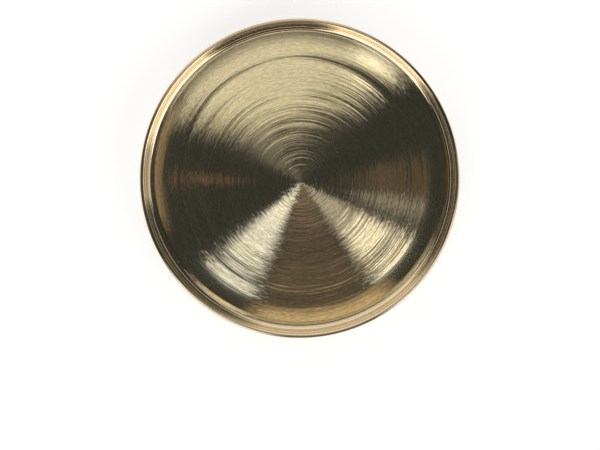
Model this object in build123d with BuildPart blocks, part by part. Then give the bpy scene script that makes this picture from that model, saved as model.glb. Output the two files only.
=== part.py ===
"""Round candle plate: a turned brass dish with a beaded rim, standing on four rubber feet.

Millimetres. The origin is on the table under the middle of the plate, and +Z is up.
"""
import os
from math import cos, radians, sin, tan

from build123d import *

# Driving dimensions of the dish
rim_diameter = 160.0  # over the bead
plate_height = 16.2  # bottom of the foot rim to the top of the bead
wall_thickness = 2.0
base_thickness = 2.4  # in the middle
wall_draft = 2.4  # degrees that the wall leans outwards
rim_lip = 0.45  # how far the bead stands out from the wall's outer face
lip_fillet = 0.4  # under the bead
corner_radius = 2.6  # inside, base to wall
heel_radius = 2.0  # outside, at the bottom of the wall

# Base: a flat seat, a gently domed panel and a border that falls more steeply to the wall
seat_diameter = 30.0  # where the candle stands
panel_rise = 1.5
border_width = 11.1
border_drop = 1.2

# Underside: a foot rim round a hollow
hollow_depth = 3.6
foot_rim_width = 5.0
foot_rim_edge = 0.8  # rounded inner edge of the foot rim
hollow_radius = 1.5  # foot rim to base
corner_web = 1.6  # metal left under the inside corner
underside_blend = 12.0  # soft break round the middle of the underside

# Rubber feet, glued into the hollow and standing a little below the foot rim
foot_diameter = 10.0  # glued face
foot_proud = 0.8
foot_taper = 6.0  # degrees
foot_edge = 0.5
foot_margin = 1.5  # flat left bare on each side of a foot
foot_first_angle = -45.0
foot_names = ["front_right", "back_right", "back_left", "front_left"]

# Levels
rim_bottom = foot_proud
rim_top = rim_bottom + plate_height
ring_under = rim_bottom + hollow_depth
corner_level = ring_under + corner_web
shoulder_top = corner_level + border_drop
seat_top = shoulder_top + panel_rise
seat_under = seat_top - base_thickness

# Bead along the rim, flush with the wall's inner face
bead_radius = (wall_thickness + rim_lip) / 2
bead_middle = (rim_diameter / 2 - bead_radius, rim_top - bead_radius)

# Wall: two parallel faces, the inner one tangent to the bead
lean = radians(wall_draft)
inner_top = (bead_middle[0] - bead_radius * cos(lean), bead_middle[1] + bead_radius * sin(lean))
outer_top = (inner_top[0] + wall_thickness * cos(lean), inner_top[1] - wall_thickness * sin(lean))
inner_corner = (inner_top[0] - (inner_top[1] - corner_level) * tan(lean), corner_level)
outer_corner = (outer_top[0] - (outer_top[1] - rim_bottom) * tan(lean), rim_bottom)

# Top of the base
seat_edge = (seat_diameter / 2, seat_top)
shoulder = (inner_corner[0] - border_width, shoulder_top)

# Underside of the base: a flat ring for the feet beside the foot rim, and a dome inside it
foot_rim_inner = outer_corner[0] - foot_rim_width
ring_outer = foot_rim_inner - hollow_radius
ring_inner = ring_outer - foot_diameter - 2 * foot_margin
foot_circle = (ring_outer + ring_inner) / 2
foot_rim_edge_under = (foot_rim_inner, rim_bottom)
hollow_corner = (foot_rim_inner, ring_under)
ring_edge = (ring_inner, ring_under)
seat_edge_under = (seat_diameter / 2, seat_under)

os.makedirs("parts", exist_ok=True)

with BuildPart() as plate:
    with BuildSketch(Plane.XZ) as section:
        with BuildLine() as outline:
            Line((0, seat_top), seat_edge)
            panel = TangentArc(seat_edge, shoulder, tangent=(1, 0))
            TangentArc(shoulder, inner_corner, tangent=panel % 1)
            Polyline(inner_corner, inner_top, outer_top, outer_corner)
            Polyline(outer_corner, foot_rim_edge_under, hollow_corner, ring_edge)
            TangentArc(seat_edge_under, ring_edge, tangent=(1, 0))
            Polyline(seat_edge_under, (0, seat_under), (0, seat_top))
        make_face()
        with Locations(bead_middle):
            Circle(bead_radius)
        for corner, radius in (
            (inner_corner, corner_radius),
            (outer_corner, heel_radius),
            (foot_rim_edge_under, foot_rim_edge),
            (hollow_corner, hollow_radius),
            (ring_edge, underside_blend),
        ):
            fillet(section.vertices().sort_by_distance(corner)[0], radius)
        under_bead = (outer_top[0], bead_middle[1] - bead_radius)
        fillet(section.vertices().sort_by_distance(under_bead)[0], lip_fillet)
    revolve(axis=Axis.Z)
plate.part.label = "plate"
export_step(plate.part, "parts/plate.step")

for number, place in enumerate(foot_names):
    angle = radians(foot_first_angle + number * 360 / len(foot_names))
    glued_face = Plane(
        origin=(foot_circle * cos(angle), foot_circle * sin(angle), ring_under), z_dir=(0, 0, -1)
    )
    with BuildPart() as foot:
        with BuildSketch(glued_face):
            Circle(foot_diameter / 2)
        extrude(amount=ring_under, taper=foot_taper)
        fillet(foot.edges().sort_by(Axis.Z)[0], foot_edge)
    foot.part.label = f"rubber_foot_{place}"
    export_step(foot.part, f"parts/rubber_foot_{place}.step")
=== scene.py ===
"""Looks of a round candle plate: brushed and lacquered brass on small rubber feet.

Metres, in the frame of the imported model: +Z up, the table at z = 0, the front at -Y.
Clock angles are seen from above: 0 points along +Y, and they grow clockwise.
"""
from math import asin, atan2, cos, degrees, exp, hypot, pi, radians, sin, sqrt, tan

import bmesh
import bpy
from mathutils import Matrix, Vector


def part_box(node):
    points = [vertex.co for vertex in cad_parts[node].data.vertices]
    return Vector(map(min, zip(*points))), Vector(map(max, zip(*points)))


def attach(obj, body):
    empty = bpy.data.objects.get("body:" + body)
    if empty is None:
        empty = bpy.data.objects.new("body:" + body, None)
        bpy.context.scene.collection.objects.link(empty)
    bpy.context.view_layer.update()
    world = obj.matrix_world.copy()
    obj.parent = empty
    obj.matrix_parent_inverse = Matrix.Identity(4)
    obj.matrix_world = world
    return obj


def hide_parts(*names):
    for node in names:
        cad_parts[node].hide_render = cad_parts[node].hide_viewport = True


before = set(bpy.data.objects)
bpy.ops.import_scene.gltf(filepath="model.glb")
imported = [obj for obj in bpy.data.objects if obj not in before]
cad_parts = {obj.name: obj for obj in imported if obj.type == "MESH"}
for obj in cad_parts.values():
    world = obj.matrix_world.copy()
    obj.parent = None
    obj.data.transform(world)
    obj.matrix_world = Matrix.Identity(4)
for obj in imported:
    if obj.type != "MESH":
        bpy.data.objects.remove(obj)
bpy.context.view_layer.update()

mm = 0.001

# Sizes of the dish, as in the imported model
plate_low, plate_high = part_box("plate")
rim_radius = plate_high.x
rim_top = plate_high.z
rim_bottom = plate_low.z
wall_thickness = 2.0 * mm
base_thickness = 2.4 * mm
wall_lean = radians(2.4)
rim_lip = 0.45 * mm
lip_fillet = 0.4 * mm
corner_radius = 2.6 * mm
heel_radius = 2.0 * mm
seat_radius = 15.0 * mm
panel_rise = 1.5 * mm
border_width = 11.1 * mm
border_drop = 1.2 * mm
hollow_depth = 3.6 * mm
foot_rim_width = 5.0 * mm
foot_rim_edge = 0.8 * mm
hollow_radius = 1.5 * mm
corner_web = 1.6 * mm
underside_blend = 12.0 * mm

# Rubber feet
foot_radius = 5.0 * mm
foot_taper = radians(6)
foot_edge = 0.5 * mm
foot_margin = 1.5 * mm
sole_dish = ((2.9, 0), (2.7, 0.08), (2.4, 0.22), (2.1, 0.3), (0, 0.34))  # hollow in the sole, in mm

# Faint groove that the turning left in the panel
groove_radius = 59.6 * mm
groove_depth = 0.1 * mm
groove_widths = (14 * mm, 1.2 * mm, 2.1 * mm)  # long and short inner side, outer side
groove_shares = (0.91, 0.09)  # of the depth, for the long and the short inner side

# Levels and places worked out from them
ring_under = rim_bottom + hollow_depth
corner_level = ring_under + corner_web
shoulder_top = corner_level + border_drop
seat_top = shoulder_top + panel_rise
seat_under = seat_top - base_thickness
bead_radius = (wall_thickness + rim_lip) / 2
bead_middle = (rim_radius - bead_radius, rim_top - bead_radius)
outward = (cos(wall_lean), -sin(wall_lean))
upward = (sin(wall_lean), cos(wall_lean))

# Mesh density: segments round the axis, and steps along the stretches of the section
plate_segments = 360
foot_segments = 48
sweep_segments = 64
seat_steps = 8
panel_steps = 90
border_steps = 24
corner_steps = 20
bead_steps = 32
lip_steps = 6
heel_steps = 12
edge_steps = 8
blend_steps = 4
panel_under_steps = 40
seat_under_steps = 4
sweep_steps = 12
guard = 0.1 * mm  # distance of the mesh ring that keeps a flat face flat beside a rounding

# Brush strokes, each as its width, its length and the detail of its noise
fine_strokes = (0.42 * mm, 25 * mm, 1)
coarse_strokes = (0.9 * mm, 120 * mm, 3)
end_strokes = (0.28 * mm, 3 * mm, 1)
dash_strokes = (0.27 * mm, 2.4 * mm, 1)
noise_range = (0.3, 0.7)  # where nearly all values of a noise lie
brush_middle = (1.1 * mm, -1.6 * mm)  # of the circles near the middle of the plate
waver_scale = 30
stroke_waver = 0.15 * mm

# Slopes of the metal under the strokes
fine_slope = 0.07
coarse_slope = 0.04
groove_lean = 0.03  # from the middle to the groove
border_lean = 0.03
stroke_skew = 0.03
middle_skew = 2  # share in the middle, where the rim has 1
calm_slope = 0.3  # share left on the border, and again on the wall
calm_skew = 0.15  # share left on the wall

# Distances from the axis between which the finish changes
middle_zone = (1 * mm, 16 * mm)
brush_zone = (45 * mm, 66 * mm)
groove_zone = (58 * mm, 62 * mm)
border_zone = (62 * mm, 68 * mm)
wall_zone = (74 * mm, 76 * mm)
# Outside of the bead, beyond which the brass is darkened as a painted dark reflection
painted_shade_outside_zone = (78.4 * mm, 79.0 * mm)

# Colours of the brass: dark and light strokes, and how much the short dashes vary them
base_tones = ((0.74, 0.61, 0.36, 1), (0.82, 0.70, 0.44, 1))
# Warmer brass for the wall: partly its own redder tone, partly a painted reflection of the warm light that
# the wall mirrors from the base
wall_tint_and_painted_reflection = (0.80, 0.66, 0.45, 1)
# Darker brass for the outside of the bead and the outer wall: a painted dark reflection, not the metal's own
# colour
painted_shade_outside_tones = ((0.54, 0.415, 0.23, 1), (0.68, 0.535, 0.31, 1))
mean_shine = 0.95
dash_shine = (0.19, 0.04)  # on the base and on the wall

# Colours of the rubber
rubber_tones = ((0.024, 0.023, 0.021, 1), (0.046, 0.043, 0.04, 1))
rubber_grain = 4000

# White of the paper, with a lift far away that only the camera sees
paper_colour = (0.7, 0.7, 0.7, 1)
paper_glow = 0.64
far_zone = (0.5, 1.2)
far_lift = 0.36


def along(start, direction, distance):
    """The section point at a distance from another one."""
    return (start[0] + direction[0] * distance, start[1] + direction[1] * distance)


def at_height(start, direction, height):
    """Where a section line through a point reaches a height."""
    return along(start, direction, (height - start[1]) / direction[1])


def arc(middle, radius, start, end, steps):
    """Points of a section arc between two angles in degrees."""
    angles = [radians(start + (end - start) * k / steps) for k in range(steps + 1)]
    return [(middle[0] + radius * cos(a), middle[1] + radius * sin(a)) for a in angles]


def corner(before, point, after, radius, steps):
    """Points of the arc that rounds a corner of the section."""
    first = Vector(before) - Vector(point)
    second = Vector(after) - Vector(point)
    half = first.angle(second) / 2
    middle = Vector(point) + (first.normalized() + second.normalized()).normalized() * radius / sin(half)
    ends = [Vector(point) + side.normalized() * radius / tan(half) for side in (first, second)]
    start, end = (atan2(*reversed(tuple(spot - middle))) for spot in ends)
    turn = (end - start + pi) % (2 * pi) - pi
    return arc(middle, radius, degrees(start), degrees(start + turn), steps)


def straight(start, end, spacing):
    """Points inside a straight stretch of the section, one close to each of its ends."""
    length = hypot(end[0] - start[0], end[1] - start[1])
    way = ((end[0] - start[0]) / length, (end[1] - start[1]) / length)
    count = max(2, round(length / spacing))
    spots = [guard] + [length * k / count for k in range(1, count)] + [length - guard]
    return [along(start, way, spot) for spot in spots]


def tangent_arc(start, slope, end, steps):
    """Points of an arc that leaves a section point at a downward slope and ends at another one."""
    run = end[0] - start[0]
    drop = start[1] - end[1]
    turn = 2 * (atan2(drop, run) - slope)
    radius = hypot(run, drop) / (2 * sin(turn / 2))
    middle = (start[0] - radius * sin(slope), start[1] - radius * cos(slope))
    return arc(middle, radius, 90 - degrees(slope), 90 - degrees(slope + turn), steps)


def groove(radius):
    """Depth of the faint turned groove."""
    away = radius - groove_radius
    long_side, short_side, outer_side = (exp(-((away / width) ** 2)) for width in groove_widths)
    if radius > groove_radius:
        return groove_depth * outer_side
    return groove_depth * (groove_shares[0] * long_side + groove_shares[1] * short_side)


def bead():
    """The round bead, from the inner face of the wall over the top to its fillet on the outer face."""
    face = wall_thickness - bead_radius
    reach = bead_radius + lip_fillet
    drop = sqrt(reach**2 - (face + lip_fillet) ** 2)
    fillet_middle = along(along(bead_middle, outward, face + lip_fillet), upward, -drop)
    lean = degrees(wall_lean)
    touch = -degrees(asin(drop / reach)) - lean
    round_top = arc(bead_middle, bead_radius, 180 - lean, touch, bead_steps)
    hollow = arc(fillet_middle, lip_fillet, touch + 180, 180 - lean, lip_steps)
    return round_top + hollow[1:]


def plate_outline():
    """The whole section of the dish, from the axis on top round the rim to the axis underneath."""
    rim = bead()
    inner_corner = at_height(rim[0], upward, corner_level)
    outer_corner = at_height(rim[-1], upward, rim_bottom)
    seat_edge = (seat_radius, seat_top)
    seat_edge_under = (seat_radius, seat_under)
    shoulder = (inner_corner[0] - border_width, shoulder_top)
    shoulder_slope = 2 * atan2(panel_rise, shoulder[0] - seat_radius)
    foot_rim_inner = outer_corner[0] - foot_rim_width
    foot_rim_under = (foot_rim_inner, rim_bottom)
    hollow_corner = (foot_rim_inner, ring_under)
    ring_edge = (foot_rim_inner - hollow_radius - 2 * (foot_radius + foot_margin), ring_under)

    seat = [(seat_radius * k / seat_steps, seat_top) for k in range(seat_steps)]
    panel = [(r, z - groove(r)) for r, z in tangent_arc(seat_edge, 0, shoulder, panel_steps)]
    border = tangent_arc(shoulder, shoulder_slope, inner_corner, border_steps)
    inside = corner(border[-6], inner_corner, rim[0], corner_radius, corner_steps)
    border = [spot for spot in border[1:] if spot[0] < inside[0][0] - guard]
    heel = corner(rim[-1], outer_corner, foot_rim_under, heel_radius, heel_steps)
    edge = corner(outer_corner, foot_rim_under, hollow_corner, foot_rim_edge, edge_steps)
    hollow = corner(foot_rim_under, hollow_corner, ring_edge, hollow_radius, edge_steps)
    panel_under = tangent_arc(seat_edge_under, 0, ring_edge, panel_under_steps)
    blend = corner(hollow_corner, ring_edge, panel_under[-3], underside_blend, blend_steps)
    panel_under = [spot for spot in panel_under if spot[0] < blend[-1][0] - guard]
    seat_below = [(seat_radius * k / seat_under_steps, seat_under) for k in range(seat_under_steps)]

    top = seat + panel + border + inside
    wall = straight(inside[-1], rim[0], mm) + rim + straight(rim[-1], heel[0], mm)
    foot_rim = heel + straight(heel[-1], edge[0], mm) + edge + straight(edge[-1], hollow[0], mm)
    under = hollow + straight(hollow[-1], blend[0], 2 * mm) + blend + (seat_below + panel_under)[::-1]
    return top + wall + foot_rim + under


def foot_outline():
    """The section of a rubber foot, from the axis of its glued face to that of its dished sole."""
    sole_radius = foot_radius - ring_under * tan(foot_taper)
    glued = (foot_radius, ring_under)
    rounding = corner(glued, (sole_radius, 0), (0, 0), foot_edge, edge_steps)
    flank = straight(glued, rounding[0], mm)
    dish = [(radius * mm, height * mm) for radius, height in sole_dish]
    return [(0, ring_under), (foot_radius - guard, ring_under), glued] + flank + rounding + dish


def lathe(name, outline, segments, place=(0, 0)):
    """A body of revolution about an upright axis, from an outline of (radius, height) points."""
    shape = bmesh.new()
    turns = [2 * pi * k / segments for k in range(segments)]
    rings = []
    for radius, height in outline:
        spots = turns if radius > 0 else turns[:1]
        rings.append(
            [shape.verts.new((place[0] + radius * cos(a), place[1] + radius * sin(a), height)) for a in spots]
        )
    for one, other in zip(rings, rings[1:]):
        for k in range(segments):
            n = (k + 1) % segments
            quad = [one[k % len(one)], one[n % len(one)], other[n % len(other)], other[k % len(other)]]
            face = shape.faces.new(list(dict.fromkeys(quad)))
            face.smooth = True
    bmesh.ops.recalc_face_normals(shape, faces=shape.faces)
    mesh = bpy.data.meshes.new(name)
    shape.to_mesh(mesh)
    shape.free()
    made = bpy.data.objects.new(name, mesh)
    bpy.context.scene.collection.objects.link(made)
    return made


def add(tree, kind, inputs=(), **settings):
    """A shader node with its settings and its inputs, each a value or another node's output."""
    made = tree.nodes.new("ShaderNode" + kind)
    for name, value in settings.items():
        setattr(made, name, value)
    for key, value in dict(inputs).items():
        if isinstance(value, bpy.types.NodeSocket):
            tree.links.new(value, made.inputs[key])
        else:
            made.inputs[key].default_value = value
    return made


def number(tree, operation, *values):
    """The result of an operation on numbers."""
    return add(tree, "Math", enumerate(values), operation=operation).outputs[0]


def vector(tree, operation, *values):
    """The vector that an operation on vectors gives."""
    return add(tree, "VectorMath", enumerate(values), operation=operation).outputs[0]


def scaled(tree, value, share):
    """A vector times a number."""
    return add(tree, "VectorMath", {0: value, "Scale": share}, operation="SCALE").outputs[0]


def length(tree, value):
    """The length of a vector."""
    return add(tree, "VectorMath", {0: value}, operation="LENGTH").outputs["Value"]


def reach_along(tree, value, way):
    """How far a vector reaches in a direction."""
    return add(tree, "VectorMath", {0: value, 1: way}, operation="DOT_PRODUCT").outputs["Value"]


def carry(tree, value, before, after=(0, 1), **settings):
    """A number carried over from one range to another."""
    limits = {"From Min": before[0], "From Max": before[1], "To Min": after[0], "To Max": after[1]}
    return add(tree, "MapRange", {"Value": value, **limits}, **settings).outputs[0]


def blend(tree, share, one, other):
    """A colour between two others."""
    return add(tree, "Mix", {0: share, 6: one, 7: other}, data_type="RGBA").outputs[2]


def new_material(name):
    """An empty node material and its node tree."""
    material = bpy.data.materials.new(name)
    material.use_nodes = True
    material.node_tree.nodes.clear()
    return material, material.node_tree


def brushed_brass():
    """Brass brushed in circles round the axis, under a clear lacquer."""
    material, tree = new_material("brushed_brass")
    place = add(tree, "TexCoord").outputs["Object"]
    height = add(tree, "SeparateXYZ", {0: place}).outputs["Z"]
    level = vector(tree, "MULTIPLY", place, (1, 1, 0))
    from_axis = length(tree, level)

    def by_radius(zone, inside, outside):
        """A value that changes from one to another between two distances from the axis."""
        return carry(tree, from_axis, zone, (inside, outside))

    # Circles of the brushing
    aside = scaled(tree, (*brush_middle, 0), by_radius(brush_zone, 1, 0))
    flat = vector(tree, "SUBTRACT", level, aside)
    across = number(tree, "ADD", length(tree, flat), height)
    waver = add(tree, "TexNoise", {"Vector": flat, "Scale": waver_scale, "Detail": 1}).outputs["Fac"]
    across = number(tree, "ADD", across, number(tree, "MULTIPLY", waver, stroke_waver))

    def strokes(width, extent, detail):
        """Noise drawn out along the circles, in strokes of about that width and length."""
        step = number(tree, "MULTIPLY", across, 1 / width)
        lift = add(tree, "CombineXYZ", {"Z": step}).outputs[0]
        spot = vector(tree, "ADD", scaled(tree, flat, 1 / extent), lift)
        return add(tree, "TexNoise", {"Vector": spot, "Scale": 1.0, "Detail": detail}).outputs["Fac"]

    def slopes(noise, steepest):
        """Noise as slopes to both sides."""
        return carry(tree, noise, (0, 1), (-steepest, steepest), clamp=False)

    # Colour, warmer on the wall, in part a painted warm reflection of the brass base, and darkened on its
    # outside as a painted dark reflection
    coarse = strokes(*coarse_strokes)
    tone = carry(tree, coarse, noise_range)
    colour = blend(tree, by_radius(wall_zone, 0, 1), blend(tree, tone, *base_tones), wall_tint_and_painted_reflection)
    # Painted dark reflection: the outside of the bead and the outer wall are darkened
    colour = blend(tree, by_radius(painted_shade_outside_zone, 0, 1), colour, blend(tree, tone, *painted_shade_outside_tones))
    dashes = carry(tree, strokes(*dash_strokes), noise_range, (-1, 1))
    shine = number(tree, "MULTIPLY_ADD", dashes, by_radius(wall_zone, *dash_shine), mean_shine)
    colour = scaled(tree, colour, shine)

    # Lean across the strokes
    slope = number(tree, "ADD", slopes(strokes(*fine_strokes), fine_slope), slopes(coarse, coarse_slope))
    calm_border = by_radius(border_zone, 1, calm_slope)
    calm = number(tree, "MULTIPLY", calm_border, by_radius(wall_zone, 1, calm_slope))
    slope = number(tree, "MULTIPLY", slope, calm)
    slope = number(tree, "ADD", slope, by_radius(groove_zone, groove_lean, 0))
    steeper = number(tree, "MULTIPLY", by_radius(border_zone, 0, border_lean), by_radius(wall_zone, 1, 0))
    slope = number(tree, "ADD", slope, steeper)

    # Skew along them
    uneven = number(tree, "ADD", by_radius((0, rim_radius), 0, 1), by_radius(middle_zone, middle_skew, 0))
    skew = number(tree, "MULTIPLY", slopes(strokes(*end_strokes), stroke_skew), uneven)
    skew = number(tree, "MULTIPLY", skew, by_radius(wall_zone, 1, calm_skew))

    normal = add(tree, "NewGeometry").outputs["Normal"]
    around = vector(tree, "NORMALIZE", vector(tree, "CROSS_PRODUCT", (0, 0, 1), flat))
    over = vector(tree, "CROSS_PRODUCT", around, normal)
    tilted = vector(tree, "ADD", normal, scaled(tree, over, slope))
    tilted = vector(tree, "ADD", tilted, scaled(tree, around, skew))
    metal = add(
        tree,
        "BsdfPrincipled",
        {
            "Base Color": colour,
            "Metallic": 1.0,
            "Roughness": 0.07,
            "Anisotropic": 1.0,
            "Anisotropic Rotation": 0.25,
            "Normal": vector(tree, "NORMALIZE", tilted),
            "Tangent": around,
            "Coat Weight": 0.5,
            "Coat Roughness": 0.05,
        },
    )
    add(tree, "OutputMaterial", {"Surface": metal.outputs[0]})
    return material


def foot_rubber():
    """Matt black moulded rubber with a fine grain."""
    material, tree = new_material("foot_rubber")
    spot = add(tree, "TexCoord").outputs["Object"]
    grain = add(tree, "TexNoise", {"Vector": spot, "Scale": rubber_grain, "Detail": 3}).outputs["Fac"]
    colour = blend(tree, grain, *rubber_tones)
    bumps = add(tree, "Bump", {"Height": grain, "Strength": 0.4, "Distance": 0.05 * mm}).outputs[0]
    rubber = add(tree, "BsdfPrincipled", {"Base Color": colour, "Roughness": 0.75, "Normal": bumps})
    add(tree, "OutputMaterial", {"Surface": rubber.outputs[0]})
    return material


def pale_studio():
    """Plain pale paper for the floor and the backdrop, white to the camera and in the metal."""
    material, tree = new_material("pale_paper")
    path = add(tree, "LightPath").outputs
    seen = number(tree, "ADD", path["Is Camera Ray"], path["Is Glossy Ray"])
    seen = number(tree, "ADD", seen, path["Is Transmission Ray"])
    away = length(tree, add(tree, "TexCoord").outputs["Object"])
    lift = number(tree, "MULTIPLY", carry(tree, away, far_zone, (0, far_lift)), path["Is Camera Ray"])
    white = number(tree, "MULTIPLY_ADD", seen, paper_glow, lift)
    paper = add(tree, "BsdfDiffuse", {"Color": paper_colour})
    glow = add(tree, "Emission", {"Strength": white})
    both = add(tree, "AddShader", {0: paper.outputs[0], 1: glow.outputs[0]})
    add(tree, "OutputMaterial", {"Surface": both.outputs[0]})
    return material


def from_clock(clock, elevation, distance):
    """The point at a clock angle and an elevation in degrees, seen from the middle of the plate."""
    level = distance * cos(radians(elevation))
    return Vector((
        level * sin(radians(clock)), level * cos(radians(clock)), distance * sin(radians(elevation))
    ))


def softbox(name, clock, elevation, distance, width, height, radiance):
    """A rectangular area light that faces the plate, with the radiance that its face shows."""
    lamp = bpy.data.lights.new(name, "AREA")
    lamp.shape = "RECTANGLE"
    lamp.size = width
    lamp.size_y = height
    lamp.energy = radiance * pi * width * height
    made = bpy.data.objects.new(name, lamp)
    made.location = from_clock(clock, elevation, distance)
    made.rotation_euler = made.location.to_track_quat("Z", "Y").to_euler()
    bpy.context.scene.collection.objects.link(made)


def ceiling_panel(name, corners, radiance, colour, shade):
    """A flat lit panel overhead, through corners of which sky() gives the place.

    The shade is a function that takes the material's tree and the place on the panel as seen from
    the middle of the light plan, and gives the nodes' outputs that the radiance is multiplied by.
    """
    shape = bmesh.new()
    shape.faces.new([shape.verts.new(spot) for spot in corners])
    mesh = bpy.data.meshes.new(name)
    shape.to_mesh(mesh)
    shape.free()
    material, tree = new_material(name)
    spot = add(tree, "TexCoord").outputs["Object"]
    spot = scaled(tree, vector(tree, "SUBTRACT", spot, sky(0, 0)), 1 / ceiling)
    strength = radiance
    for share in shade(tree, spot):
        strength = number(tree, "MULTIPLY", share, strength)
    glow = add(tree, "Emission", {"Color": (*colour, 1), "Strength": strength})
    both = add(tree, "AddShader", {0: add(tree, "BsdfTransparent").outputs[0], 1: glow.outputs[0]})
    add(tree, "OutputMaterial", {"Surface": both.outputs[0]})
    mesh.materials.append(material)
    made = bpy.data.objects.new(name, mesh)
    bpy.context.scene.collection.objects.link(made)


def ramp(tree, value, start, end):
    """A share that comes up from 0 to 1 between two values."""
    return carry(tree, value, (start, end), interpolation_type="SMOOTHSTEP")


def sky(x, y, level=0.0):
    """The point overhead at offsets from the direction that the middle of the plate mirrors."""
    return (x * ceiling, (y - tan(radians(camera_tilt))) * ceiling, ceiling + level)


def ceiling_window(name, left, right, near, far, radiance, colour=(1, 1, 1), fades=()):
    """A lit rectangle overhead. A fade is a direction, or None for all of them, and its two distances."""

    def shade(tree, spot):
        for way, start, end in fades:
            reach = reach_along(tree, spot, (*way, 0)) if way else length(tree, spot)
            yield ramp(tree, reach, start, end)

    corners = [sky(left, near), sky(right, near), sky(right, far), sky(left, far)]
    ceiling_panel(name, corners, radiance, colour, shade)


def ceiling_sector(
    name, clocks, reach, radiance, colour=(1, 1, 1), soft=4.0, rise=0.02, fall=0.02, level=0.0, stripes=0.0
):
    """A lit panel overhead between two clock angles and two distances, with soft sides.

    Stripes across it, of that strength, bring out the brushing of the metal that mirrors it.
    """
    clock = (clocks[0] + clocks[1]) / 2
    half = (clocks[1] - clocks[0]) / 2
    near = max(reach[0] - rise, 0.001)
    far = reach[1] + fall
    ahead = (sin(radians(clock)), cos(radians(clock)), 0)
    beside = (ahead[1], -ahead[0], 0)

    def shade(tree, spot):
        turn = number(tree, "ARCTAN2", reach_along(tree, spot, beside), reach_along(tree, spot, ahead))
        turn = number(tree, "ABSOLUTE", turn)
        distance = length(tree, vector(tree, "MULTIPLY", spot, (1, 1, 0)))
        yield ramp(tree, turn, radians(half + soft), radians(half - soft))
        yield ramp(tree, distance, reach[0] - rise, reach[0] + rise)
        yield ramp(tree, distance, reach[1] + fall, reach[1] - fall)
        wave = number(tree, "SINE", number(tree, "MULTIPLY", distance, 2 * pi / stripe_period))
        yield number(tree, "MULTIPLY_ADD", wave, -stripes, 1.0)

    turns = [radians(clock + (half + soft) * (k / 8 - 1)) for k in range(17)]
    inner = [sky(near * sin(a), near * cos(a), level) for a in turns]
    outer = [sky(far * sin(a), far * cos(a), level) for a in turns]
    ceiling_panel(name, inner + outer[::-1], radiance, colour, shade)


# The plate
brass = brushed_brass()
plate = lathe("brass_plate", plate_outline(), plate_segments)
plate.data.materials.append(brass)
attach(plate, "root")
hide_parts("plate")

# The feet
rubber = foot_rubber()
for name in [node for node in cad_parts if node.startswith("rubber_foot")]:
    low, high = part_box(name)
    middle = ((low.x + high.x) / 2, (low.y + high.y) / 2)
    foot = lathe(f"moulded_{name}", foot_outline(), foot_segments, middle)
    foot.data.materials.append(rubber)
    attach(foot, "root")
    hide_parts(name)

# Floor and backdrop in one sweep
floor_radius = 2.0
sweep_radius = 0.3
wall_top = 0.45
sweep = lathe(
    "studio_sweep",
    [(0, 0), (floor_radius, 0)]
    + arc((floor_radius, sweep_radius), sweep_radius, -90, 0, sweep_steps)[1:]
    + [(floor_radius + sweep_radius, wall_top)],
    sweep_segments,
)
sweep.data.materials.append(pale_studio())

# Lights. Distances overhead are shares of the ceiling's height, and a panel has its two clock angles,
# its two distances and its radiance.
ceiling = 2.0
stripe_period = 0.13
room_colour = (0.82, 0.94, 1, 1)
room_strength = 0.056
camera_tilt = 2.5  # degrees towards +Y
ceiling_window(
    "back_window",
    left=-0.6,
    right=0.5,
    near=0.0,
    far=0.5,
    radiance=0.85,
    colour=(1, 0.975, 0.9),
    fades=[((0.19, 0.982), 0.04, 0.15), ((-0.45, 0.893), 0.08, 0.2), (None, 0.52, 0.3)],
)
ceiling_sector("back_right_panel", (25, 43), (0.28, 0.45), 0.95, soft=8, rise=0.04, fall=0.06, level=-0.01)
ceiling_sector("back_left_panel", (296, 332), (0.05, 0.13), 0.15, soft=10, fall=0.03, level=-0.01)
ceiling_sector(
    "front_left_panel", (202, 227), (0.05, 0.256), 1.26, (0.84, 0.9, 1),
    soft=6, rise=0.03, fall=0.008, stripes=0.5,
)
ceiling_sector("front_right_panel", (118, 143), (0.17, 0.27), 1.3, soft=6, rise=0.12, fall=0.008, stripes=1)
ceiling_sector("front_right_close", (118, 147), (0.02, 0.12), 0.3, soft=6, fall=0.06, level=0.01, stripes=1)
ceiling_sector("front_right_strip", (100, 111), (0.16, 0.27), 0.35, soft=4, rise=0.04, fall=0.01)
ceiling_sector("front_close", (147, 198), (0.03, 0.1), 0.21, (1, 0.75, 0.6), soft=6, fall=0.03, level=0.02)
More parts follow.
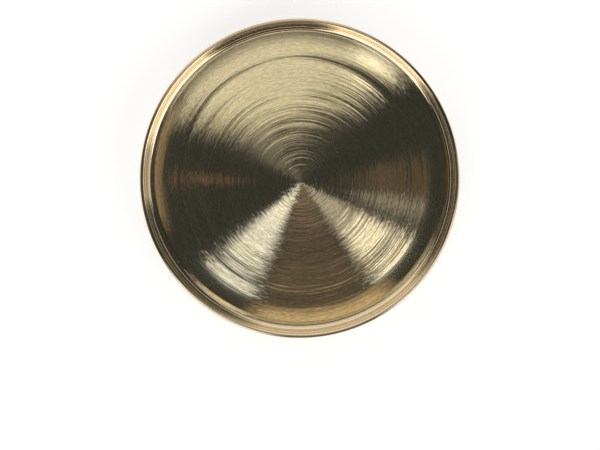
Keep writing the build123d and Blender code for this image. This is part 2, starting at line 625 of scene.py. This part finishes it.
ceiling_sector("front_near", (150, 195), (0.05, 0.26), 0.06, (1, 0.65, 0.5), soft=5, level=0.01, stripes=1)
ceiling_sector("front_far", (142, 198), (0.33, 0.65), 0.64, (1, 0.79, 0.53), soft=8, rise=0.05, level=-0.02)
ceiling_sector("left_glow", (252, 298), (0.4, 0.57), 0.34, (1, 0.72, 0.5), soft=8, rise=0.04, fall=0.06)
ceiling_sector("right_glow", (78, 104), (0.15, 0.27), 0.1, (1, 0.65, 0.4), soft=5, rise=0.04, fall=0.04)
ceiling_sector("left_streak", (267, 273), (0.19, 0.27), 0.16, (1, 0.55, 0.3), soft=2, rise=0.02, level=0.01)

# Softboxes: clock angle, elevation, distance, width, height and radiance
softbox("front_right_softbox", 127, 32, 1.2, 0.75, 1.05, 1.7)
softbox("right_softbox", 97, 30, 1.2, 0.5, 0.9, 0.6)
softbox("front_left_softbox", 211, 32, 1.2, 0.75, 1.05, 1.8)
softbox("back_softbox", 343, 36, 1.2, 1.6, 1.3, 0.85)

# Dim light from all round
world = bpy.data.worlds.new("dim_room")
world.use_nodes = True
background = world.node_tree.nodes["Background"]
background.inputs["Color"].default_value = room_colour
background.inputs["Strength"].default_value = room_strength
bpy.context.scene.world = world

# Camera almost straight above, as in the photograph's larger view
image_width = 600
image_height = 450
rim_pixels = 160.1  # radius of the rim
plate_pixel = (299.65, 179.65)  # middle of the plate
camera_distance = 9 * rim_radius
camera_data = bpy.data.cameras.new("camera")
camera = bpy.data.objects.new("camera", camera_data)
bpy.context.scene.collection.objects.link(camera)
pixel = rim_radius / rim_pixels
camera.location = from_clock(0, 90 - camera_tilt, camera_distance) + Vector((0, 0, rim_top))
camera.location.x = (image_width / 2 - plate_pixel[0]) * pixel
target_y = (plate_pixel[1] - image_height / 2) * pixel
camera.rotation_euler.x = atan2(target_y - camera.location.y, camera.location.z - rim_top)
camera_data.sensor_width = 36
camera_data.lens = camera_data.sensor_width * rim_pixels * camera_distance / rim_radius / image_width
bpy.context.scene.camera = camera
bpy.context.scene.view_settings.view_transform = "Standard"
